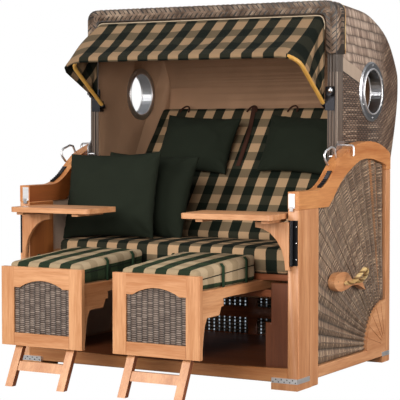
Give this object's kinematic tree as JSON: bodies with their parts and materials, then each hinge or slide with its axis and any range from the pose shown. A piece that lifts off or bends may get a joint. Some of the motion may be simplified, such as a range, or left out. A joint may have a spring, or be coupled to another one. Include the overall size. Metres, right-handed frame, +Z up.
{
  "type": "hooded beach chair",
  "caption": "Wooden beach chair with reclining wicker hood, portholes, awning, padded seat, swing tables and pull-out footrests.",
  "frame": {"origin": "centre of the bounding box's footprint, on the floor plane", "axes": "+Z up, +Y towards the back of the chair, +X to the right when looking along +Y at its open front"},
  "size_m": [1.557, 1.6414, 1.583],
  "materials": {
    "wood": "satin",
    "shaded_wood": "satin",
    "wicker": "satin",
    "lining": "matte",
    "check_cloth": "matte",
    "plain_cloth": "matte",
    "rope": "matte",
    "bow_plastic": "satin",
    "bright_metal": "polished",
    "black_metal": "satin"
  },
  "bodies": {
    "base": {"front_post_left": "wood", "front_post_right": "wood", "arm_rail_left": "wood", "arm_rail_right": "wood", "rear_post_left": "wood", "rear_post_right": "wood", "bottom_rail_left": "wood", "bottom_rail_right": "wood", "wicker_panel_left": "wicker", "wicker_panel_right": "wicker", "fish_handle_left": "wood", "fish_handle_right": "wood", "rope_loop_left": "rope", "rope_loop_right": "rope", "pivot_board_left": "wood", "pivot_board_right": "wood", "footwell_plank_left": "shaded_wood", "footwell_plank_right": "shaded_wood", "recline_rack_left": "black_metal", "recline_rack_right": "black_metal", "hinge_leaf_left": "black_metal", "hinge_leaf_right": "black_metal", "front_rail": "wood", "floor_board": "shaded_wood", "back_wall": "shaded_wood", "seat_frame": "shaded_wood", "seat_cushion": "check_cloth", "throw_pillow_front": "plain_cloth", "throw_pillow_rear": "plain_cloth"},
    "hood": {"porthole_left": "bright_metal", "porthole_right": "bright_metal", "recline_latch_left": "bright_metal", "recline_latch_right": "bright_metal", "awning_latch_left": "bright_metal", "awning_latch_right": "bright_metal", "head_pillow_left": "plain_cloth", "head_pillow_right": "plain_cloth", "hood_shell": "wicker", "hood_lining": "lining", "hood_rim": "wicker", "backrest_board": "shaded_wood", "back_cushion": "check_cloth"},
    "awning": {"awning_bow": "bow_plastic", "awning_cloth": "check_cloth"},
    "lever_left": {"recline_lever_left": "bright_metal"},
    "table_left": {"table_board_left": "wood", "table_bracket_left": "wood"},
    "footrest_left": {"footrest_front_left": "wood", "footrest_wicker_left": "wicker", "footrest_box_left": "wood", "footrest_cushion_left": "check_cloth"},
    "legs_left": {"leg_frame_left": "wood"},
    "lever_right": {"recline_lever_right": "bright_metal"},
    "table_right": {"table_board_right": "wood", "table_bracket_right": "wood"},
    "footrest_right": {"footrest_front_right": "wood", "footrest_wicker_right": "wicker", "footrest_box_right": "wood", "footrest_cushion_right": "check_cloth"},
    "legs_right": {"leg_frame_right": "wood"}
  },
  "joints": [
    {"name": "hood_recline", "type": "hinge", "parent": "base", "child": "hood", "pos_m": [0, 0.35155, 0.47], "axis": [-1, 0, 0], "range_deg": [0, 38]},
    {"name": "awning_swing", "type": "hinge", "parent": "hood", "child": "awning", "pos_m": [0, 0.13855, 1.143], "axis": [-1, 0, 0], "range_deg": [0, 50], "deforming": ["awning_cloth"]},
    {"name": "lever_lift_left", "type": "hinge", "parent": "hood", "child": "lever_left", "pos_m": [-0.6227, 0.15155, 0.97267], "axis": [-1, 0, 0], "range_deg": [-60, 0]},
    {"name": "lever_lift_right", "type": "hinge", "parent": "hood", "child": "lever_right", "pos_m": [0.6227, 0.15155, 0.97267], "axis": [-1, 0, 0], "range_deg": [-60, 0]},
    {"name": "table_swing_left", "type": "hinge", "parent": "base", "child": "table_left", "pos_m": [-0.655, -0.36845, 0.59], "axis": [0, 0, -1], "range_deg": [0, 95]},
    {"name": "table_swing_right", "type": "hinge", "parent": "base", "child": "table_right", "pos_m": [0.655, -0.36845, 0.59], "axis": [0, 0, 1], "range_deg": [0, 95]},
    {"name": "footrest_pull_left", "type": "slide", "parent": "base", "child": "footrest_left", "axis": [0, 1, 0], "range_m": [-0.08, 0.035]},
    {"name": "leg_fold_left", "type": "hinge", "parent": "footrest_left", "child": "legs_left", "pos_m": [-0.27, -0.64045, 0.345], "axis": [1, 0, 0], "range_deg": [0, 108]},
    {"name": "footrest_pull_right", "type": "slide", "parent": "base", "child": "footrest_right", "axis": [0, 1, 0], "range_m": [-0.08, 0.035]},
    {"name": "leg_fold_right", "type": "hinge", "parent": "footrest_right", "child": "legs_right", "pos_m": [0.27, -0.64045, 0.345], "axis": [1, 0, 0], "range_deg": [0, 108]}
  ]
}
